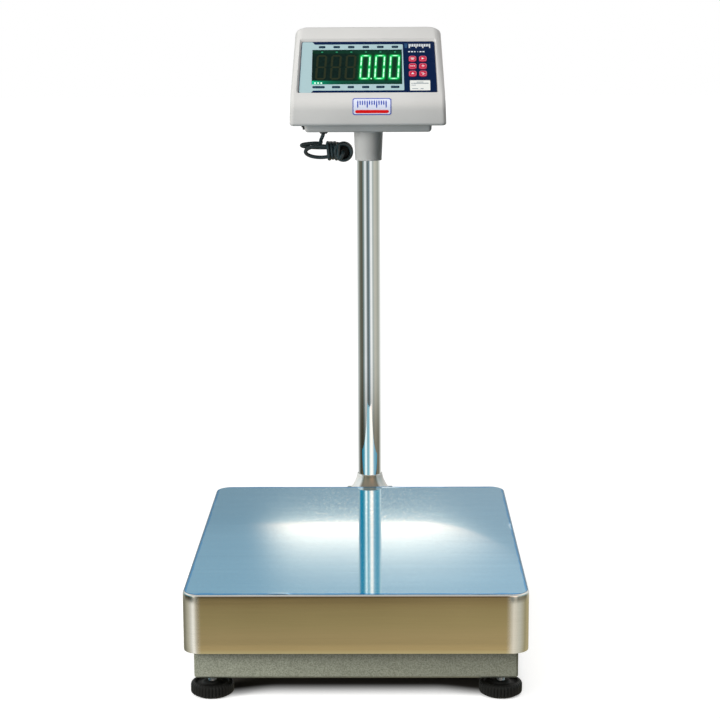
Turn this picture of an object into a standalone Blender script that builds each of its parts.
"""Bench scale: a stainless weighing platform on adjustable feet with an indicator on a pole.

Units are metres and +Z is up. The origin is on the floor, at the centre of the overall box.
+X is to the right of someone reading the display and +Y points from that person to the pole.
"""

import math

import bmesh
import bpy
from mathutils import Matrix, Vector

# ---------------------------------------------------------------- driving dimensions
PLATFORM_W = 0.400
PLATFORM_D = 0.500
DECK_Z = 0.130
OVERALL_D = 0.583
GAP = 0.0003

PAN_WALL = 0.0012
PAN_SKIRT = 0.0705
PAN_CORNER_R = 0.020
PAN_EDGE_R = 0.0025
FILM_T = 0.0002
FILM_GAP = 0.0001

FRAME_INSET = 0.012
FRAME_BOTTOM = 0.0255
FRAME_TOP = 0.0755
RAIL_W = 0.032
RAIL_WALL = 0.0025
CORNER_BLOCK = 0.046
CROSS_PLATE_T = 0.006

FOOT_X = 0.169
FOOT_Y = 0.216
FOOT_R = 0.02525
FOOT_WHEEL_BOTTOM = 0.0018
FOOT_WHEEL_TOP = 0.0160
STUD_R = 0.005
STUD_TOP = 0.060

CELL_W = 0.040
CELL_L = 0.150
CELL_BOTTOM = 0.0465
CELL_TOP = 0.0785
CELL_TRAVEL_GAP = 0.0009
CELL_EYE_R = 0.0115
CELL_EYE_OFFSET = 0.014
PLATE_T = 0.0042
SPIDER_H = 0.035
SPIDER_HALF_X = 0.150
SPIDER_HALF_Y = 0.200
SPIDER_BAR = 0.030
SPIDER_WALL = 0.0035
SPIDER_SEAT_X = 0.026

POLE_X = 0.013
POLE_R = 0.016
POLE_WALL = 0.0012
POLE_TOP = 0.6205
HEAD_BACK = 0.048
BRACKET_HALF_W = 0.032
BRACKET_TOP = 0.1145
BRACKET_FRONT = 0.2138
BRACKET_BACK = 0.2750
BRACKET_FLOOR = 0.0222
BRACKET_WALL = 0.003
DOME_TOP = 0.1410

COLLAR_BOTTOM = 0.5835
COLLAR_TOP = 0.6240
COLLAR_STRETCH = 0.009

PANEL_TILT = math.radians(45)
PANEL_H = 0.094
PANEL_TOP_HALF = 0.0900
PANEL_LOW_HALF = 0.0925
PANEL_RECESS = 0.0035
OVERLAY_T = 0.0010
OVERLAY_FACE = -0.0022
WINDOW_SIZE = (0.1204, 0.0621)
WINDOW_CENTRE = (-0.0146, 0.00045)
KEY_SIZE = 0.0104
KEY_HOLE = 0.0110
KEY_COLUMNS = (0.0602, 0.0741)
KEY_ROWS = (0.0144, 0.0009, -0.0126)
SHELL_WALL = 0.003
SHELL_LOW_HALF = 0.1048
SHELL_TOP_HALF = 0.0992
TUB_TOP_HALF = 0.0880
TUB_LOW_HALF = 0.0855
TUB_WALL = 0.0025
HEAD_BOTTOM = 0.6245
NOSE_BOTTOM = 0.6347

COLLAR_LOW_R = 0.0182
COLLAR_HIGH_R = 0.0200
COLLAR_SCREW_Z = 0.6035
COLLAR_SCREW_SEAT_Y = 0.0293
COLLAR_THREAD_Y = 0.0262
COLLAR_THREAD_R = 0.0028
COLLAR_THREAD_L = 0.020
COLLAR_BORE_LOW = 0.55
COLLAR_BORE_SLACK = 0.0006
CABLE_HOLE_R = 0.006
CABLE_HOLE_SPAN = (0.60, 0.65)
SCREW_PROFILE = (
    (0.0, 0.0045),
    (0.0040, 0.0042),
    (0.0046, 0.0),
    (0.0025, 0.0),
    (0.0025, -0.0105),
    (0.0, -0.0105),
)

BATTERY_BOX = ((0.018, -0.018, 0.0), (0.078, 0.030, 0.056))
TRANSFORMER_BOX = ((-0.058, -0.014, 0.012), (-0.022, 0.026, 0.046))
MAIN_PCB_BOX = ((-0.075, 0.0355, 0.004), (0.075, 0.0371, 0.050))
INSIDE_LIFT = 0.0030

CORD_R = 0.0026
CORD_EXIT = (-0.062, 0.020)
HANK_BOX = (-0.0905, -0.0510, 0.5840, 0.6035)
HANK_BACK = 0.031
HANK_PITCH = 0.0060
HANK_TURNS = 2.6
HANK_STEPS = 22
HANK_LEAD = 0.10
HANK_TAIL = 0.006
CORD_DROP = (0.6380, 0.6168)
PLUG_R = 0.013
PLUG_DEPTH = 0.024
PLUG_PLACE = (-0.0345, 0.0020, 0.5945)
PLUG_PINS = ((0.0, 0.0065, 0.0034), (-0.0060, -0.0050, 0.0025), (0.0060, -0.0050, 0.0025))
PIN_SEAT = 0.005
PIN_L = 0.0205
PIN_OUT = 0.0059

SWITCH_Y = -0.008
SWITCH_Z = 0.6340
SWITCH_FACE = -0.0895
SWITCH_BEZEL = (0.0105, 0.0075)
SWITCH_BEZEL_T = 0.0028
SWITCH_BARREL = (0.0093, 0.0063)
SWITCH_BARREL_SPAN = (0.001, 0.018)
SWITCH_WELL = (0.0080, 0.0050)
SWITCH_WELL_SPAN = (-0.01, 0.0075)
SWITCH_HOLE = (0.0096, 0.0066)
SWITCH_HOLE_SPAN = (-0.0105, 0.0195)
ROCKER_OUTLINE = (
    (-0.0030, -0.0070, 0.0008),
    (-0.0012, 0.0, 0.0060),
    (-0.0030, 0.0070, 0.0008),
    (0.0030, 0.0055, 0.0008),
    (0.0030, -0.0055, 0.0008),
)
ROCKER_W = 0.0094
ROCKER_INSET = 0.0010

CELL_BOLT_X = (-0.010, 0.010)
BOLT_R = 0.004
BOLT_HEAD_R = 0.0065
BOLT_HEAD_H = 0.0052
CABLE_R = 0.0025
CABLE_Z = 0.0440
CELL_CABLE_Z = 0.0625

# ---------------------------------------------------------------- derived places
CORD_GROMMET_PROFILE = (
    (0.0070, -0.0003),
    (0.0070, -0.0028),
    (0.0045, -0.0060),
    (CORD_R + GAP, -0.0060),
    (CORD_R + GAP, 0.0050),
    (0.0047, 0.0050),
    (0.0047, -0.0003),
)
PLATFORM_Y = (PLATFORM_D - OVERALL_D) / 2
POLE_Y = OVERALL_D / 2 - HEAD_BACK
FRAME_W = PLATFORM_W - 2 * FRAME_INSET
FRAME_D = PLATFORM_D - 2 * FRAME_INSET
FRAME_REAR = PLATFORM_Y + FRAME_D / 2
CROSS_TOP = CELL_BOTTOM - PLATE_T - 2 * GAP
CELL_Y = PLATFORM_Y
FIXED_Y = CELL_Y + CELL_L / 2 - 0.018
FREE_Y = CELL_Y - CELL_L / 2 + 0.018
SPIDER_BOTTOM = CELL_TOP + CELL_TRAVEL_GAP + PLATE_T + GAP
SPIDER_TOP = SPIDER_BOTTOM + SPIDER_H
PAN_CLEAR_Z = DECK_Z - PAN_SKIRT - 0.004
BRACKET_BOLT_X = (POLE_X - 0.020, POLE_X + 0.020)
BRACKET_BOLT_Y = FRAME_REAR - RAIL_W / 2
PANEL_TOP_YZ = (-0.00509, 0.74591)
PANEL_SLANT = (math.cos(PANEL_TILT), math.sin(PANEL_TILT))
PANEL_CENTRE = (
    PANEL_TOP_YZ[0] - PANEL_SLANT[0] * PANEL_H / 2,
    PANEL_TOP_YZ[1] - PANEL_SLANT[1] * PANEL_H / 2,
)

# Side outlines of the indicator as (y from the pole's axis, z, corner radius).
SHELL_OUTLINE = (
    (-0.0570, NOSE_BOTTOM, 0.0015),
    (-0.0750, NOSE_BOTTOM, 0.0060),
    (-0.0835, 0.6650, 0.0200),
    (-0.0740, 0.6770, 0.0060),
    (0.0180, 0.7690, 0.0080),
    (0.0440, 0.7187, 0.0030),
    (0.0320, 0.7037, 0.0010),
)
JOINT_LOW = Vector((-0.0570, NOSE_BOTTOM))
JOINT_HIGH = Vector((0.0320, 0.7037))
TUB_OUTLINE = (
    (-0.0535, 0.6370, 0.0010),
    (0.0295, 0.7013, 0.0010),
    (HEAD_BACK, 0.6960, 0.0060),
    (HEAD_BACK, 0.6800, 0.0250),
    (0.0390, HEAD_BOTTOM, 0.0100),
    (-0.0460, HEAD_BOTTOM, 0.0060),
)


# ---------------------------------------------------------------- scene and materials
for old in list(bpy.data.objects):
    bpy.data.objects.remove(old, do_unlink=True)

parts = bpy.data.collections.new("bench_scale")
tools = bpy.data.collections.new("cutters")
bpy.context.scene.collection.children.link(parts)
bpy.context.scene.collection.children.link(tools)


def material(name, colour, roughness, metallic):
    """A plain Principled material."""
    mat = bpy.data.materials.new(name)
    mat.use_nodes = True
    shader = mat.node_tree.nodes["Principled BSDF"]
    shader.inputs["Base Color"].default_value = (*colour, 1.0)
    shader.inputs["Roughness"].default_value = roughness
    shader.inputs["Metallic"].default_value = metallic
    return mat


STAINLESS = material("brushed_stainless", (0.62, 0.58, 0.50), 0.32, 1.0)
CHROME = material("polished_steel", (0.80, 0.80, 0.80), 0.08, 1.0)
ZINC = material("zinc_plated_steel", (0.60, 0.61, 0.62), 0.35, 1.0)
ALUMINIUM = material("aluminium", (0.70, 0.71, 0.72), 0.40, 1.0)
BRASS = material("brass", (0.72, 0.55, 0.25), 0.30, 1.0)
HAMMERTONE = material("hammertone_paint", (0.22, 0.23, 0.19), 0.45, 0.2)
FILM = material("blue_film", (0.12, 0.35, 0.60), 0.25, 0.0)
BLACK_PLASTIC = material("black_plastic", (0.015, 0.015, 0.016), 0.50, 0.0)
RUBBER = material("rubber", (0.03, 0.03, 0.03), 0.80, 0.0)
WARM_WHITE = material("warm_white_abs", (0.70, 0.69, 0.66), 0.40, 0.0)
GREY_ABS = material("grey_abs", (0.45, 0.45, 0.44), 0.45, 0.0)
OVERLAY = material("printed_overlay", (0.005, 0.02, 0.08), 0.30, 0.0)
WINDOW = material("tinted_window", (0.005, 0.02, 0.015), 0.10, 0.0)
KEY_RED = material("key_red", (0.60, 0.01, 0.05), 0.40, 0.0)
BOARD = material("circuit_board", (0.02, 0.16, 0.06), 0.50, 0.0)
BATTERY = material("battery_case", (0.05, 0.06, 0.07), 0.50, 0.0)
IRON = material("laminated_iron", (0.20, 0.20, 0.21), 0.50, 0.9)
CORD = material("cord_pvc", (0.012, 0.016, 0.018), 0.45, 0.0)


# ---------------------------------------------------------------- modelling helpers
def empty(name, location, parent=None, rotation=(0.0, 0.0, 0.0)):
    """A joint's or a group's own frame."""
    node = bpy.data.objects.new(name, None)
    node.empty_display_size = 0.02
    node.parent = parent
    node.location = location
    node.rotation_euler = rotation
    parts.objects.link(node)
    return node


def add(name, mesh, mat, location=(0.0, 0.0, 0.0), parent=None, rotation=(0.0, 0.0, 0.0)):
    """Puts a mesh in the scene: a part when it has a material, else a cutter."""
    node = bpy.data.objects.new(name, mesh)
    node.parent = parent
    node.location = location
    node.rotation_euler = rotation
    if mat is None:
        tools.objects.link(node)
        node.hide_render = True
        node.display_type = "WIRE"
    else:
        mesh.materials.clear()
        mesh.materials.append(mat)
        parts.objects.link(node)
    return node


def box_mesh(name, size):
    """A box round its own centre."""
    bm = bmesh.new()
    bmesh.ops.create_cube(bm, size=1.0, matrix=Matrix.Diagonal((*size, 1.0)))
    mesh = bpy.data.meshes.new(name)
    bm.to_mesh(mesh)
    bm.free()
    return mesh


def box(name, low, high, mat, parent=None, origin=(0.0, 0.0, 0.0)):
    """A box between two corners, given in the frame whose parent stands at origin."""
    size = [b - a for a, b in zip(low, high)]
    centre = [(a + b) / 2 - o for a, b, o in zip(low, high, origin)]
    return add(name, box_mesh(name, size), mat, centre, parent)


def smooth(mesh, degrees=35):
    """Smooth shading that keeps real edges sharp."""
    mesh.shade_smooth()
    mesh.set_sharp_from_angle(angle=math.radians(degrees))


def cylinder_mesh(name, radius, height, sides=20):
    """A cylinder round its own centre, along Z."""
    bm = bmesh.new()
    bmesh.ops.create_cone(
        bm, cap_ends=True, segments=sides, radius1=radius, radius2=radius, depth=height
    )
    mesh = bpy.data.meshes.new(name)
    bm.to_mesh(mesh)
    bm.free()
    smooth(mesh)
    return mesh


def cylinder(name, radius, xy, z_low, z_high, mat, parent=None, origin=(0.0, 0.0, 0.0), sides=20):
    """An upright cylinder."""
    centre = (xy[0] - origin[0], xy[1] - origin[1], (z_low + z_high) / 2 - origin[2])
    mesh = cylinder_mesh(name, radius, z_high - z_low, sides)
    return add(name, mesh, mat, centre, parent)


def turned(name, profile, mat, location, parent=None, rotation=(0.0, 0.0, 0.0), sides=40, ring=False):
    """A profile of (radius, z) turned round Z. A ring's profile closes on itself."""
    bm = bmesh.new()
    verts = [bm.verts.new((r, 0.0, z)) for r, z in profile]
    pairs = list(zip(verts, verts[1:]))
    if ring:
        pairs.append((verts[-1], verts[0]))
    for a, b in pairs:
        bm.edges.new((a, b))
    mesh = bpy.data.meshes.new(name)
    bm.to_mesh(mesh)
    bm.free()
    node = add(name, mesh, mat, location, parent, rotation)
    screw = node.modifiers.new("turn", "SCREW")
    screw.axis = "Z"
    screw.angle = math.tau
    screw.steps = sides
    screw.render_steps = sides
    screw.use_merge_vertices = True
    screw.merge_threshold = 0.00001
    screw.use_smooth_shade = True
    return node


def rounded(corners, steps=3):
    """The points of an outline whose (x, y, radius) corners are replaced by arcs."""
    points = []
    count = len(corners)
    for i, (x, y, radius) in enumerate(corners):
        here = Vector((x, y))
        before = (Vector(corners[i - 1][:2]) - here).normalized()
        after = (Vector(corners[(i + 1) % count][:2]) - here).normalized()
        half = before.angle(after) / 2
        setback = radius / math.tan(half)
        centre = here + (before + after).normalized() * (radius / math.sin(half))
        start = here + before * setback - centre
        turn = (here + after * setback - centre).angle_signed(start)
        for k in range(steps + 1):
            points.append(centre + Matrix.Rotation(turn * k / steps, 2) @ start)
    return points


def inset(corners, distances):
    """The outline moved inwards, each side i (from corner i to the next) by its own distance."""
    count = len(corners)
    area = sum(
        corners[i][0] * corners[(i + 1) % count][1] - corners[(i + 1) % count][0] * corners[i][1]
        for i in range(count)
    )
    side = 1.0 if area > 0 else -1.0
    lines = []
    for i in range(count):
        a = Vector(corners[i][:2])
        b = Vector(corners[(i + 1) % count][:2])
        along = (b - a).normalized()
        inward = Vector((-along.y, along.x)) * side
        lines.append((a + inward * distances[i], along))
    moved = []
    for i in range(count):
        p, u = lines[i - 1]
        q, v = lines[i]
        t = (q - p).cross(v) / u.cross(v)
        hit = p + u * t
        radius = max(corners[i][2] - min(distances[i - 1], distances[i]), 0.0008)
        moved.append((hit.x, hit.y, radius))
    return moved


def outline_mesh(name, outlines, thickness):
    """A flat plate in the XY plane, from one outer outline and any holes."""
    curve = bpy.data.curves.new(name, "CURVE")
    curve.dimensions = "2D"
    curve.fill_mode = "BOTH"
    curve.extrude = thickness / 2
    for outline in outlines:
        spline = curve.splines.new("POLY")
        spline.points.add(len(outline) - 1)
        for point, place in zip(spline.points, outline):
            point.co = (place[0], place[1], 0.0, 1.0)
        spline.use_cyclic_u = True
    return curve_to_mesh(name, curve)


def curve_to_mesh(name, curve):
    """The welded mesh of a curve, which is then removed."""
    node = bpy.data.objects.new(name, curve)
    parts.objects.link(node)
    depsgraph = bpy.context.evaluated_depsgraph_get()
    mesh = bpy.data.meshes.new_from_object(node.evaluated_get(depsgraph), depsgraph=depsgraph)
    bm = bmesh.new()
    bm.from_mesh(mesh)
    bmesh.ops.remove_doubles(bm, verts=bm.verts, dist=0.000001)
    bmesh.ops.recalc_face_normals(bm, faces=bm.faces)
    bm.to_mesh(mesh)
    bm.free()
    bpy.data.objects.remove(node, do_unlink=True)
    return mesh


def tube_mesh(name, points, radius, resolution=2):
    """A round wire through the points."""
    curve = bpy.data.curves.new(name, "CURVE")
    curve.dimensions = "3D"
    curve.bevel_depth = radius
    curve.bevel_resolution = resolution
    curve.use_fill_caps = True
    spline = curve.splines.new("POLY")
    spline.points.add(len(points) - 1)
    for point, place in zip(spline.points, points):
        point.co = (*place, 1.0)
    mesh = curve_to_mesh(name, curve)
    smooth(mesh, 50)
    return mesh


def side_prism(name, corners, low_half, high_half, z_span):
    """A side outline of (y, z, radius) given a width in X that changes evenly with height."""
    mesh = outline_mesh(name, [rounded(corners)], 2.0)
    z_low, z_high = z_span
    for vert in mesh.vertices:
        y, z, side = vert.co
        share = (z - z_low) / (z_high - z_low)
        half = low_half + (high_half - low_half) * share
        vert.co = (side * half, y, z)
    return mesh


def bevel(node, width, segments=2, degrees=40):
    """Rounds the sharp edges."""
    mod = node.modifiers.new("round", "BEVEL")
    mod.width = width
    mod.segments = segments
    mod.limit_method = "ANGLE"
    mod.angle_limit = math.radians(degrees)
    return mod


def boolean(node, other, operation, solver="EXACT"):
    """Cuts or joins with one other object."""
    mod = node.modifiers.new(operation.lower(), "BOOLEAN")
    mod.operation = operation
    mod.object = other
    mod.solver = solver


def cut(node, *cutters):
    """Removes the cutters from a part."""
    for cutter in cutters:
        boolean(node, cutter, "DIFFERENCE")


def rounded_rectangle(width, depth, radius, steps):
    """The points of a rectangle with round corners."""
    x, y = width / 2, depth / 2
    return rounded([(-x, -y, radius), (x, -y, radius), (x, y, radius), (-x, y, radius)], steps)


# ---------------------------------------------------------------- base frame
def make_base_frame():
    """A ring of open-bottomed rails with solid corner bosses and a cross plate."""
    frame = box(
        "base_frame",
        (-FRAME_W / 2, PLATFORM_Y - FRAME_D / 2, FRAME_BOTTOM),
        (FRAME_W / 2, PLATFORM_Y + FRAME_D / 2, FRAME_TOP),
        HAMMERTONE,
    )
    bevel(frame, 0.0025, 1)
    inner_x = FRAME_W / 2 - RAIL_W
    inner_y = FRAME_D / 2 - RAIL_W
    above = box(
        "frame_well_cut",
        (-inner_x, PLATFORM_Y - inner_y, CROSS_TOP),
        (inner_x, PLATFORM_Y + inner_y, FRAME_TOP + 0.01),
        None,
    )
    plate_front = FIXED_Y - 0.040
    plate_back = FIXED_Y + 0.040
    front = box(
        "frame_front_cut",
        (-inner_x, PLATFORM_Y - inner_y, FRAME_BOTTOM - 0.01),
        (inner_x, plate_front, CROSS_TOP + 0.01),
        None,
    )
    back = box(
        "frame_back_cut",
        (-inner_x, plate_back, FRAME_BOTTOM - 0.01),
        (inner_x, PLATFORM_Y + inner_y, CROSS_TOP + 0.01),
        None,
    )
    under = box(
        "frame_under_cut",
        (-inner_x, plate_front - 0.01, FRAME_BOTTOM - 0.01),
        (inner_x, plate_back + 0.01, CROSS_TOP - CROSS_PLATE_T),
        None,
    )
    cut(frame, above, front, back, under)
    roof = FRAME_TOP - RAIL_WALL
    long_x = FRAME_W / 2 - CORNER_BLOCK
    long_y = FRAME_D / 2 - CORNER_BLOCK
    mid = RAIL_W / 2
    half = RAIL_W / 2 - RAIL_WALL
    for side in (-1, 1):
        y = PLATFORM_Y + side * (FRAME_D / 2 - mid)
        low = (-long_x, y - half, FRAME_BOTTOM - 0.01)
        rail = box(f"frame_cross_rail_cut_{side}", low, (long_x, y + half, roof), None)
        x = side * (FRAME_W / 2 - mid)
        low = (x - half, PLATFORM_Y - long_y, FRAME_BOTTOM - 0.01)
        post = box(
            f"frame_side_rail_cut_{side}", low, (x + half, PLATFORM_Y + long_y, roof), None
        )
        cut(frame, rail, post)
    for x, y in foot_places():
        hole = cylinder(
            f"frame_stud_cut_{x:.3f}_{y:.3f}", STUD_R + GAP, (x, y), 0.0, 0.071, None, sides=16
        )
        cut(frame, hole)
    for x in CELL_BOLT_X:
        hole = cylinder(
            f"frame_bolt_cut_{x:.3f}", BOLT_R + GAP, (x, FIXED_Y), 0.02, 0.06, None, sides=16
        )
        cut(frame, hole)
    for x in BRACKET_BOLT_X:
        hole = cylinder(
            f"frame_bracket_cut_{x:.3f}",
            BOLT_R + GAP,
            (x, BRACKET_BOLT_Y),
            0.01,
            0.050,
            None,
            sides=16,
        )
        pad = box(
            f"frame_bracket_pad_{x:.3f}",
            (x - 0.009, BRACKET_BOLT_Y - half - 0.001, FRAME_BOTTOM),
            (x + 0.009, BRACKET_BOLT_Y + half + 0.001, 0.046),
            None,
        )
        boolean(frame, pad, "UNION")
        cut(frame, hole)
    wire = add(
        "frame_cable_cut",
        cylinder_mesh("frame_cable_cut", 0.0056, 0.08, 24),
        None,
        (POLE_X, FRAME_REAR - mid, CABLE_Z),
        rotation=(math.radians(90), 0.0, 0.0),
    )
    cut(frame, wire)
    return frame


def foot_places():
    """The four foot axes as (x, y)."""
    return [(sx * FOOT_X, PLATFORM_Y + sy * FOOT_Y) for sx in (-1, 1) for sy in (-1, 1)]


def bolt(name, xy, head_from, head_to, shank_to, parent=None, origin=(0.0, 0.0, 0.0)):
    """A hexagon-headed screw whose head lies between two heights and whose shank ends at a third."""
    up = 1.0 if shank_to > head_to else -1.0
    length = abs(shank_to - head_from)
    head_h = abs(head_to - head_from)
    mesh = cylinder_mesh(name, BOLT_HEAD_R, head_h, 6)
    node = add(
        name, mesh, ZINC, (xy[0] - origin[0], xy[1] - origin[1], head_from - origin[2]), parent
    )
    mesh.transform(Matrix.Translation((0.0, 0.0, up * head_h / 2)))
    shank = add(
        name + "_shank",
        cylinder_mesh(name + "_shank", BOLT_R, length - head_h / 2, 20),
        None,
        (0.0, 0.0, up * (head_h / 2 + length) / 2),
        node,
    )
    boolean(node, shank, "UNION")
    return node


def make_load_cell():
    """The binocular aluminium beam, its lower spacer plate and the two fixing bolts."""
    half_w = CELL_W / 2
    cell = box(
        "load_cell",
        (-half_w, CELL_Y - CELL_L / 2, CELL_BOTTOM),
        (half_w, CELL_Y + CELL_L / 2, CELL_TOP),
        ALUMINIUM,
    )
    mid_z = (CELL_BOTTOM + CELL_TOP) / 2
    for side in (-1, 1):
        hole = add(
            f"cell_eye_cut_{side}",
            cylinder_mesh("cell_eye_cut", CELL_EYE_R, CELL_W + 0.02, 24),
            None,
            (0.0, CELL_Y + side * CELL_EYE_OFFSET, mid_z),
            rotation=(0.0, math.radians(90), 0.0),
        )
        cut(cell, hole)
    slot = box(
        "cell_slot_cut",
        (-half_w - 0.01, CELL_Y - CELL_EYE_OFFSET, mid_z - 0.004),
        (half_w + 0.01, CELL_Y + CELL_EYE_OFFSET, mid_z + 0.004),
        None,
    )
    cut(cell, slot)
    plate = box(
        "load_cell_lower_plate",
        (-half_w, FIXED_Y - 0.015, CROSS_TOP + GAP),
        (half_w, FIXED_Y + 0.015, CELL_BOTTOM - GAP),
        ZINC,
    )
    for i, x in enumerate(CELL_BOLT_X):
        clear = BOLT_R + GAP
        low = cylinder(f"cell_low_cut_{i}", clear, (x, FIXED_Y), 0.03, 0.0640, None, sides=16)
        top = cylinder(f"cell_top_cut_{i}", clear, (x, FREE_Y), 0.0620, 0.10, None, sides=16)
        cut(cell, low, top)
        cut(plate, low)
        under = CROSS_TOP - CROSS_PLATE_T - GAP
        bolt(f"load_cell_bolt_lower_{i + 1}", (x, FIXED_Y), under - BOLT_HEAD_H, under, 0.0630)


def make_bracket():
    """The pole's sheet steel stand behind the platform, bolted under the frame's rear rail."""
    frame_clear = FRAME_REAR + GAP
    under = FRAME_BOTTOM - GAP
    step_top = PAN_CLEAR_Z
    corners = [
        (BRACKET_BOLT_Y - 0.012, BRACKET_FLOOR, 0.001),
        (BRACKET_BACK, BRACKET_FLOOR, 0.003),
        (BRACKET_BACK, BRACKET_TOP, 0.003),
        (BRACKET_FRONT, BRACKET_TOP, 0.003),
        (BRACKET_FRONT, step_top, 0.001),
        (frame_clear, step_top, 0.001),
        (frame_clear, under, 0.0005),
        (BRACKET_BOLT_Y - 0.012, under, 0.0005),
    ]
    spread = BRACKET_HALF_W
    mesh = side_prism("pole_bracket", corners, spread, spread, (0.0, 1.0))
    bracket = add("pole_bracket", mesh, HAMMERTONE, (POLE_X, 0.0, 0.0))
    wall = BRACKET_WALL
    hollow = [
        (FRAME_REAR - 0.010, BRACKET_FLOOR + wall + 0.0006, 0.0005),
        (BRACKET_BACK - wall, BRACKET_FLOOR + wall + 0.0006, 0.001),
        (BRACKET_BACK - wall, BRACKET_TOP - wall, 0.001),
        (BRACKET_FRONT + wall, BRACKET_TOP - wall, 0.001),
        (BRACKET_FRONT + wall, step_top - wall, 0.0005),
        (FRAME_REAR - 0.010, step_top - wall, 0.0005),
    ]
    inner = spread - wall
    cavity = side_prism("bracket_cavity_cut", hollow, inner, inner, (0.0, 1.0))
    cut(bracket, add("bracket_cavity_cut", cavity, None, (POLE_X, 0.0, 0.0)))
    socket = cylinder(
        "bracket_socket_cut", POLE_R + GAP, (POLE_X, POLE_Y), 0.10, 0.13, None, sides=48
    )
    cut(bracket, socket)
    for i, x in enumerate(BRACKET_BOLT_X):
        hole = cylinder(
            f"bracket_bolt_cut_{i}", BOLT_R + GAP, (x, BRACKET_BOLT_Y), 0.01, 0.03, None
        )
        cut(bracket, hole)
        head_top = BRACKET_FLOOR - GAP
        place = (x, BRACKET_BOLT_Y)
        bolt(f"bracket_bolt_{i + 1}", place, head_top - BOLT_HEAD_H, head_top, 0.044)


def make_pole():
    """The tube, its flared dome, and the load cell's cable that runs up inside."""
    foot = BRACKET_FLOOR + BRACKET_WALL + 0.0006 + GAP
    inner = POLE_R - POLE_WALL
    pole = turned(
        "pole",
        [(POLE_R, POLE_TOP), (POLE_R, foot), (inner, foot), (inner, POLE_TOP)],
        CHROME,
        (POLE_X, POLE_Y, 0.0),
        ring=True,
    )
    entry = add(
        "pole_entry_cut",
        cylinder_mesh("pole_entry_cut", 0.0045, 0.02, 24),
        None,
        (POLE_X, POLE_Y - POLE_R, CABLE_Z),
        rotation=(math.radians(90), 0.0, 0.0),
    )
    cut(pole, entry)
    base = BRACKET_TOP + GAP
    bore = POLE_R + GAP
    steps = 4
    dome = [(bore, DOME_TOP), (bore + 0.0012, DOME_TOP)]
    for k in range(steps + 1):
        share = k / steps
        flare = 0.0105 * (share**1.6)
        dome.append((bore + 0.0022 + flare, DOME_TOP - 0.001 - (DOME_TOP - base - 0.003) * share))
    dome += [(bore + 0.0132, base), (bore, base)]
    turned("pole_flange", dome, CHROME, (POLE_X, POLE_Y, 0.0), ring=True, sides=32)
    bend = 0.010
    cell_end = CELL_Y + CELL_L / 2 + GAP
    points = [
        (POLE_X, cell_end, CELL_CABLE_Z),
        (POLE_X, cell_end + 0.040, CELL_CABLE_Z),
        (POLE_X, cell_end + 0.070, CABLE_Z),
    ]
    for k in range(7):
        a = math.radians(90) * k / 6
        y = POLE_Y - bend + bend * math.sin(a)
        points.append((POLE_X, y, CABLE_Z + bend - bend * math.cos(a)))
    points.append((POLE_X, POLE_Y, 0.600))
    add("signal_cable", tube_mesh("signal_cable", points, CABLE_R), CORD)
    turned(
        "cable_grommet",
        [
            (0.0052, 0.0030),
            (0.0052, -0.0030),
            (CABLE_R + GAP, -0.0030),
            (CABLE_R + GAP, 0.0030),
        ],
        RUBBER,
        (POLE_X, FRAME_REAR - RAIL_W + 0.0015, CABLE_Z),
        rotation=(math.radians(90), 0.0, 0.0),
        ring=True,
        sides=24,
    )


def make_level_vial():
    """The round bubble level on the frame's front left corner."""
    x = -FRAME_W / 2 + RAIL_W / 2
    y = PLATFORM_Y - FRAME_D / 2 + 0.055
    profile = [(0.0, 0.0075), (0.0072, 0.0070), (0.0080, 0.0062), (0.0080, 0.0), (0.0, 0.0)]
    turned("level_vial", profile, BRASS, (x, y, FRAME_TOP + GAP), sides=32)


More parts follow.
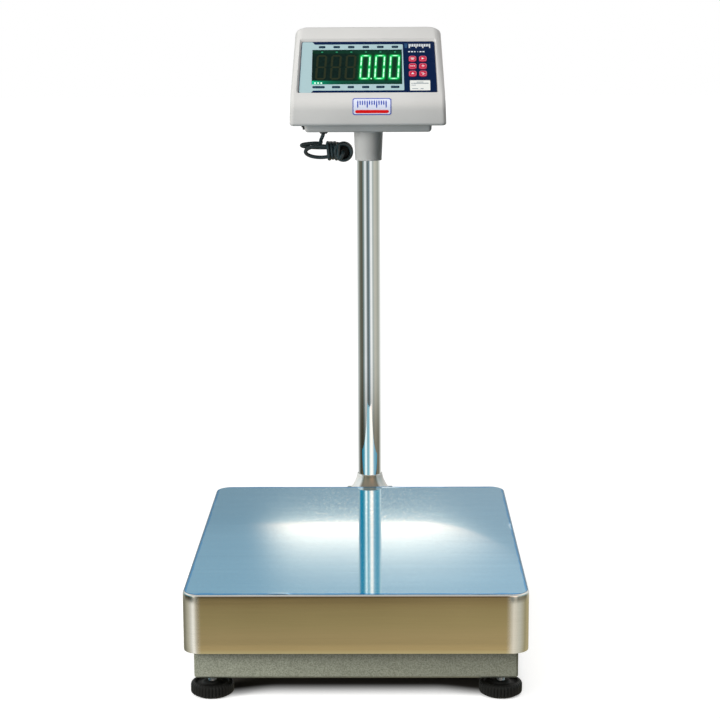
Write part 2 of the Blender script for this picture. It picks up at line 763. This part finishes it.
# ---------------------------------------------------------------- load spider and pan
def make_spider(parent, origin):
    """The H-shaped carrier on the load cell's free end, its spacer, bolts and corner pads."""
    outline = [
        [(-SPIDER_HALF_X, -SPIDER_HALF_Y), (SPIDER_HALF_X, -SPIDER_HALF_Y)]
        + [(SPIDER_HALF_X, SPIDER_HALF_Y), (-SPIDER_HALF_X, SPIDER_HALF_Y)]
    ]
    bar_low = FREE_Y - PLATFORM_Y - 0.024
    bar_high = FREE_Y - PLATFORM_Y + 0.024
    inner = SPIDER_HALF_X - SPIDER_BAR
    reach = SPIDER_HALF_Y - SPIDER_BAR
    for low, high in ((-reach, bar_low), (bar_high, reach)):
        outline.append([(-inner, low), (inner, low), (inner, high), (-inner, high)])
    mesh = outline_mesh("load_spider", outline, SPIDER_H)
    centre_z = (SPIDER_BOTTOM + SPIDER_TOP) / 2
    place = (-origin[0], PLATFORM_Y - origin[1], centre_z - origin[2])
    spider = add("load_spider", mesh, HAMMERTONE, place, parent)
    wall = SPIDER_WALL
    side_x = (inner + wall, SPIDER_HALF_X - wall)
    end_y = (reach + wall, SPIDER_HALF_Y - wall)
    mid_y = (bar_low + wall, bar_high - wall)
    hollows = []
    for sign in (-1, 1):
        hollows.append((sign * side_x[0], sign * side_x[1], -end_y[1], end_y[1]))
        hollows.append((-side_x[1], side_x[1], sign * end_y[0], sign * end_y[1]))
        hollows.append((sign * SPIDER_SEAT_X, sign * side_x[1], *mid_y))
    for i, (x1, x2, y1, y2) in enumerate(hollows):
        low = (min(x1, x2), PLATFORM_Y + min(y1, y2), SPIDER_BOTTOM - wall)
        high = (max(x1, x2), PLATFORM_Y + max(y1, y2), SPIDER_TOP - wall)
        cut(spider, box(f"spider_hollow_cut_{i}", low, high, None))
    half_w = CELL_W / 2
    top = SPIDER_BOTTOM - GAP
    plate = box(
        "load_cell_upper_plate",
        (-half_w, FREE_Y - 0.015, top - PLATE_T + GAP),
        (half_w, FREE_Y + 0.015, top),
        ZINC,
        parent,
        origin,
    )
    for i, x in enumerate(CELL_BOLT_X):
        hole = cylinder(
            f"spider_bolt_cut_{i}", BOLT_R + GAP, (x, FREE_Y), 0.07, 0.14, None, sides=16
        )
        cut(spider, hole)
        cut(plate, hole)
        bolt(
            f"load_cell_bolt_upper_{i + 1}",
            (x, FREE_Y),
            SPIDER_TOP + GAP + BOLT_HEAD_H,
            SPIDER_TOP + GAP,
            0.0650,
            parent,
            origin,
        )
    under_pan = DECK_Z - FILM_T - FILM_GAP - PAN_WALL
    for i, (sx, sy) in enumerate(((-1, -1), (1, -1), (1, 1), (-1, 1))):
        x = sx * (SPIDER_HALF_X - SPIDER_BAR / 2)
        y = PLATFORM_Y + sy * (SPIDER_HALF_Y - SPIDER_BAR / 2)
        z = SPIDER_TOP + GAP
        height = under_pan - GAP - z
        profile = [
            (0.0, height),
            (0.009, height),
            (0.011, height - 0.0015),
            (0.0125, 0.0),
            (0.0, 0.0),
        ]
        place = (x - origin[0], y - origin[1], z - origin[2])
        turned(f"pan_pad_{i + 1}", profile, RUBBER, place, parent, sides=24)


def make_pan(parent, origin):
    """The lift-off stainless pan and the thin film that protects its top."""
    top = DECK_Z - FILM_T - FILM_GAP
    bottom = DECK_Z - PAN_SKIRT
    mesh = box_mesh("weighing_pan", (PLATFORM_W, PLATFORM_D, top - bottom))
    bm = bmesh.new()
    bm.from_mesh(mesh)
    floor = min(bm.faces, key=lambda f: f.calc_center_median().z)
    bmesh.ops.delete(bm, geom=[floor], context="FACES_ONLY")
    upright = [e for e in bm.edges if abs(e.verts[0].co.z - e.verts[1].co.z) > 0.01]
    bmesh.ops.bevel(
        bm, geom=upright, offset=PAN_CORNER_R, segments=5, profile=0.5, affect="EDGES"
    )
    z_top = max(v.co.z for v in bm.verts)
    rim = [e for e in bm.edges if all(abs(v.co.z - z_top) < 1e-6 for v in e.verts)]
    rim = [e for e in rim if len(e.link_faces) == 2]
    bmesh.ops.bevel(bm, geom=rim, offset=PAN_EDGE_R, segments=2, profile=0.5, affect="EDGES")
    bmesh.ops.recalc_face_normals(bm, faces=bm.faces)
    bm.to_mesh(mesh)
    bm.free()
    smooth(mesh)
    place = (-origin[0], PLATFORM_Y - origin[1], (top + bottom) / 2 - origin[2])
    pan = add("weighing_pan", mesh, STAINLESS, place, parent)
    wall = pan.modifiers.new("wall", "SOLIDIFY")
    wall.thickness = PAN_WALL
    wall.offset = -1.0
    wall.use_even_offset = True
    film_w = PLATFORM_W - 2 * PAN_EDGE_R
    film_d = PLATFORM_D - 2 * PAN_EDGE_R
    outline = rounded_rectangle(film_w, film_d, PAN_CORNER_R - PAN_EDGE_R, 5)
    film = outline_mesh("protective_film", [outline], FILM_T)
    place = (-origin[0], PLATFORM_Y - origin[1], DECK_Z - FILM_T / 2 - origin[2])
    add("protective_film", film, FILM, place, parent)


# ---------------------------------------------------------------- adjustable feet
def make_foot(number, x, y):
    """One foot: a sole that stays on the floor and a hand wheel with its threaded stud."""
    slide = empty(f"foot_{number}_height", (x, y, 0.0))
    spin = empty(f"foot_{number}_screw", (0.0, 0.0, 0.0), slide)
    sole = [(0.0, 0.0014), (0.0205, 0.0014), (0.0205, 0.0), (0.0, 0.0)]
    turned(f"foot_sole_{number}", sole, RUBBER, (0.0, 0.0, 0.0), slide, sides=32)
    rim = FOOT_R
    low = FOOT_WHEEL_BOTTOM
    high = FOOT_WHEEL_TOP
    bore = STUD_R + GAP
    wheel = [
        (bore, high + 0.0008),
        (0.0105, high + 0.0008),
        (0.0115, high - 0.0022),
        (rim - 0.0060, high - 0.0022),
        (rim - 0.0048, high),
        (rim - 0.0016, high),
        (rim, high - 0.0018),
        (rim, low),
        (bore, low),
    ]
    turned(f"foot_wheel_{number}", wheel, BLACK_PLASTIC, (0.0, 0.0, 0.0), spin, ring=True, sides=28)
    stud = cylinder(
        f"foot_stud_{number}", STUD_R, (0.0, 0.0), low, STUD_TOP, ZINC, spin, sides=24
    )
    bevel(stud, 0.0008, 1)


# ---------------------------------------------------------------- indicator shells
def make_front_shell(head):
    """The hooded front half: a sloped panel seat, a bulging nose and two cheeks."""
    z_span = (NOSE_BOTTOM, 0.7600)
    mesh = side_prism("front_shell", SHELL_OUTLINE, SHELL_LOW_HALF, SHELL_TOP_HALF, z_span)
    shell = add("front_shell", mesh, WARM_WHITE, parent=head)
    bevel(shell, 0.0045, 3, 60)
    wall = SHELL_WALL
    thick = PANEL_RECESS + 0.0025
    room = inset(SHELL_OUTLINE, (wall, wall, thick, thick, wall, wall, wall))
    low_half = SHELL_LOW_HALF - wall
    high_half = SHELL_TOP_HALF - wall
    cavity = side_prism("shell_cavity_cut", room, low_half, high_half, z_span)
    cut(shell, add("shell_cavity_cut", cavity, None, parent=head))
    along = (JOINT_HIGH - JOINT_LOW).normalized()
    away = Vector((along.y, -along.x))
    start = JOINT_LOW + along * 0.0085
    end = JOINT_HIGH - along * 0.0085
    mouth = [start - away * 0.006, start + away * 0.006, end + away * 0.006, end - away * 0.006]
    mouth = [(p.x, p.y, 0.0005) for p in mouth]
    half = TUB_LOW_HALF - TUB_WALL
    opening = side_prism("shell_mouth_cut", mouth, half, half, (0.0, 1.0))
    cut(shell, add("shell_mouth_cut", opening, None, parent=head))
    return shell


def panel_outline(margin):
    """The sloped panel's outline, wider at its lower edge, grown by a margin."""
    top = PANEL_TOP_HALF + margin
    low = PANEL_LOW_HALF + margin
    y = PANEL_H / 2 + margin
    return rounded([(-low, -y, 0.003), (low, -y, 0.003), (top, y, 0.003), (-top, y, 0.003)])


def panel_box(name, centre, size, z_low, z_high, mat, panel):
    """A rectangular piece in the panel's own frame, whose Z is the panel's outward normal."""
    mesh = box_mesh(name, (size[0], size[1], z_high - z_low))
    return add(name, mesh, mat, (centre[0], centre[1], (z_low + z_high) / 2), panel)


def make_panel(shell, panel):
    """The overlay, window, display board and keys, and the shell's seat for them."""
    seat = outline_mesh("panel_seat_cut", [panel_outline(GAP)], 2 * PANEL_RECESS)
    cut(shell, add("panel_seat_cut", seat, None, parent=panel))
    well = panel_box("panel_well_cut", (0.0, 0.0), (0.170, 0.078), -0.012, 0.001, None, panel)
    cut(shell, well)
    low = OVERLAY_FACE - OVERLAY_T
    overlay_mesh = outline_mesh("display_overlay", [panel_outline(0.0)], OVERLAY_T)
    overlay = add("display_overlay", overlay_mesh, OVERLAY, (0.0, 0.0, low + OVERLAY_T / 2), panel)
    opening = (WINDOW_SIZE[0] + 2 * GAP, WINDOW_SIZE[1] + 2 * GAP)
    cut(overlay, panel_box("window_cut", WINDOW_CENTRE, opening, -0.01, 0.01, None, panel))
    panel_box("display_window", WINDOW_CENTRE, WINDOW_SIZE, low, OVERLAY_FACE, WINDOW, panel)
    board = panel_box("led_module", (0.0, 0.0), (0.168, 0.074), -0.0140, -0.0124, BOARD, panel)
    digits = panel_box(
        "digit_block", WINDOW_CENTRE, (0.116, 0.058), -0.0130, -0.0045, None, panel
    )
    boolean(board, digits, "UNION")
    number = 0
    for y in KEY_ROWS:
        for x in KEY_COLUMNS:
            number += 1
            hole = (KEY_HOLE, KEY_HOLE)
            cut(overlay, panel_box(f"key_cut_{number}", (x, y), hole, -0.01, 0.01, None, panel))
            key = panel_box(
                f"key_{number}", (x, y), (KEY_SIZE, KEY_SIZE), -0.0080, -0.0012, KEY_RED, panel
            )
            bevel(key, 0.0012, 2)


def make_rear_cover(head):
    """The narrower tub behind the front shell, open towards it, with its cut-outs."""
    z_span = (HEAD_BOTTOM, 0.7000)
    mesh = side_prism("rear_cover", TUB_OUTLINE, TUB_LOW_HALF, TUB_TOP_HALF, z_span)
    cover = add("rear_cover", mesh, GREY_ABS, parent=head)
    bevel(cover, 0.004, 2, 60)
    wall = TUB_WALL
    room = inset(TUB_OUTLINE, (-0.012, wall, wall, wall, wall, wall))
    low_half = TUB_LOW_HALF - wall
    high_half = TUB_TOP_HALF - wall
    cavity = side_prism("tub_cavity_cut", room, low_half, high_half, z_span)
    cut(cover, add("tub_cavity_cut", cavity, None, parent=head))
    exits = (("tub_cable_cut", (0.0, 0.0), 0.006), ("tub_cord_cut", CORD_EXIT, 0.0050))
    for name, place, radius in exits:
        cut(cover, cylinder(name, radius, place, 0.60, 0.635, None, head, sides=16))
    cut(cover, switch_box("tub_switch_cut", SWITCH_HOLE, SWITCH_HOLE_SPAN, None, head))


def switch_box(name, half, span, mat, head):
    """A block about the switch's centre: half its (y, z) size, and its reach in x from the face."""
    return box(
        name,
        (SWITCH_FACE + span[0], SWITCH_Y - half[0], SWITCH_Z - half[1]),
        (SWITCH_FACE + span[1], SWITCH_Y + half[0], SWITCH_Z + half[1]),
        mat,
        head,
    )


def make_switch(head):
    """The power switch on the left wall of the tub: a bezel with its body, and the rocker."""
    body = switch_box("power_switch_body", SWITCH_BEZEL, (0.0, SWITCH_BEZEL_T), BLACK_PLASTIC, head)
    boolean(body, switch_box("switch_barrel", SWITCH_BARREL, SWITCH_BARREL_SPAN, None, head), "UNION")
    cut(body, switch_box("switch_well_cut", SWITCH_WELL, SWITCH_WELL_SPAN, None, head))
    mesh = outline_mesh("power_rocker", [rounded(ROCKER_OUTLINE, 3)], ROCKER_W)
    place = (SWITCH_FACE + ROCKER_INSET, SWITCH_Y, SWITCH_Z)
    add("power_rocker", mesh, BLACK_PLASTIC, place, head)


def stadium(radius, stretch, steps=12):
    """A half circle towards the front and another at the back, joined by straight sides."""
    points = []
    for k in range(steps + 1):
        a = math.pi + math.pi * k / steps
        points.append((radius * math.cos(a), radius * math.sin(a)))
    for k in range(steps + 1):
        a = math.pi * k / steps
        points.append((radius * math.cos(a), stretch + radius * math.sin(a)))
    return points


def make_collar(head):
    """The slightly tapered socket under the tub that turns on the pole."""
    height = COLLAR_TOP - COLLAR_BOTTOM
    mesh = outline_mesh("pole_collar", [stadium(1.0, 0.0)], height)
    for vert in mesh.vertices:
        x, y, z = vert.co
        radius = COLLAR_LOW_R + (COLLAR_HIGH_R - COLLAR_LOW_R) * (z / height + 0.5)
        stretch = COLLAR_STRETCH if y > 1e-6 else 0.0
        vert.co = (x * radius, y * radius + stretch, z)
    place = (0.0, 0.0, (COLLAR_BOTTOM + COLLAR_TOP) / 2)
    collar = add("pole_collar", mesh, GREY_ABS, place, head)
    bore_top = POLE_TOP + COLLAR_BORE_SLACK
    axis = (0.0, 0.0)
    bore = cylinder(
        "collar_bore_cut", POLE_R + GAP, axis, COLLAR_BORE_LOW, bore_top, None, head, sides=48
    )
    wire = cylinder(
        "collar_cable_cut", CABLE_HOLE_R, axis, *CABLE_HOLE_SPAN, None, head, sides=16
    )
    thread = add(
        "collar_screw_cut",
        cylinder_mesh("collar_screw_cut", COLLAR_THREAD_R, COLLAR_THREAD_L, 20),
        None,
        (0.0, COLLAR_THREAD_Y, COLLAR_SCREW_Z),
        head,
        (math.radians(90), 0.0, 0.0),
    )
    cut(collar, bore, wire, thread)
    turned(
        "collar_screw",
        SCREW_PROFILE,
        ZINC,
        (0.0, COLLAR_SCREW_SEAT_Y, COLLAR_SCREW_Z),
        head,
        (math.radians(-90), 0.0, 0.0),
        sides=24,
    )


# ---------------------------------------------------------------- indicator's inside and cord
def make_inside(head):
    """The main board, the rechargeable battery and the mains transformer."""
    floor = Vector((0.0, 0.0, HEAD_BOTTOM + TUB_WALL + INSIDE_LIFT))
    blocks = (
        ("battery", BATTERY_BOX, BATTERY),
        ("transformer", TRANSFORMER_BOX, IRON),
        ("main_pcb", MAIN_PCB_BOX, BOARD),
    )
    for name, (low, high), mat in blocks:
        box(name, Vector(low) + floor, Vector(high) + floor, mat, head)


def racetrack(share):
    """The place on one flattened loop: (x, z) for a share of a turn, running left along the top."""
    left, right, low, high = HANK_BOX
    radius = (high - low) / 2
    straight = right - left - 2 * radius
    arc = math.pi * radius
    along = (share % 1.0) * (2 * straight + 2 * arc)
    mid = (low + high) / 2
    if along < straight:
        return right - radius - along, high
    along -= straight
    if along < arc:
        a = math.pi / 2 + along / radius
        return left + radius + radius * math.cos(a), mid + radius * math.sin(a)
    along -= arc
    if along < straight:
        return left + radius + along, low
    a = -math.pi / 2 + (along - straight) / radius
    return right - radius + radius * math.cos(a), mid + radius * math.sin(a)


def make_cord(head):
    """The mains cord: out of the tub, into a flat hank behind the collar, and its plug."""
    turned(
        "cord_grommet",
        CORD_GROMMET_PROFILE,
        RUBBER,
        (*CORD_EXIT, HEAD_BOTTOM),
        head,
        ring=True,
        sides=24,
    )
    x, y = CORD_EXIT
    top = HANK_BOX[3]
    points = [(x, y, z) for z in CORD_DROP]
    points.append((x, y + 0.0040, top + 0.0090))
    points.append((x - 0.0006, HANK_BACK, top + 0.0040))
    points.append((x - 0.0030, HANK_BACK, top + 0.0008))
    total = int(HANK_TURNS * HANK_STEPS)
    for k in range(total + 1):
        share = HANK_LEAD + (HANK_TURNS - HANK_LEAD) * k / total
        px, pz = racetrack(share)
        points.append((px, HANK_BACK - HANK_PITCH * (share - HANK_LEAD), pz))
    end = points[-1]
    points.append((end[0] + HANK_TAIL, end[1], end[2]))
    add("power_cord", tube_mesh("power_cord", points, CORD_R), CORD, parent=head)
    depth = PLUG_DEPTH
    plug = turned(
        "plug_body",
        [
            (0.0, 0.0),
            (PLUG_R - 0.003, 0.0),
            (PLUG_R, -0.003),
            (PLUG_R, -depth + 0.004),
            (PLUG_R - 0.004, -depth),
            (0.0, -depth),
        ],
        BLACK_PLASTIC,
        (PLUG_PLACE[0], PLUG_PLACE[1] + depth, PLUG_PLACE[2]),
        head,
        (math.radians(-90), 0.0, 0.0),
        sides=24,
    )
    for i, (dx, dz, radius) in enumerate(PLUG_PINS):
        hole = cylinder_mesh(f"pin_cut_{i}", radius + GAP, 2 * PIN_SEAT, 20)
        place = (PLUG_PLACE[0] + dx, PLUG_PLACE[1] + depth, PLUG_PLACE[2] + dz)
        turn = (math.radians(90), 0.0, 0.0)
        cut(plug, add(f"pin_cut_{i}", hole, None, place, head, turn))
        pin = cylinder_mesh(f"plug_pin_{i + 1}", radius, PIN_L, 20)
        place = (place[0], place[1] + PIN_OUT, place[2])
        add(f"plug_pin_{i + 1}", pin, BRASS, place, head, turn)


# ---------------------------------------------------------------- assembly
def main():
    """Builds every part of the scale."""
    make_base_frame()
    make_load_cell()
    make_bracket()
    make_pole()
    make_level_vial()
    carrier_at = (0.0, PLATFORM_Y, SPIDER_BOTTOM)
    carrier = empty("load_deflection", carrier_at)
    make_spider(carrier, carrier_at)
    lift_z = DECK_Z - PAN_SKIRT
    lift = empty("pan_lift", (0.0, 0.0, lift_z - SPIDER_BOTTOM), carrier)
    make_pan(lift, (0.0, PLATFORM_Y, lift_z))
    for number, (x, y) in enumerate(foot_places(), 1):
        make_foot(number, x, y)
    head = empty("head_swivel", (POLE_X, POLE_Y, 0.0))
    panel = empty("panel_frame", (0.0, *PANEL_CENTRE), head, (PANEL_TILT, 0.0, 0.0))
    shell = make_front_shell(head)
    make_panel(shell, panel)
    make_rear_cover(head)
    make_switch(head)
    make_collar(head)
    make_inside(head)
    make_cord(head)


main()
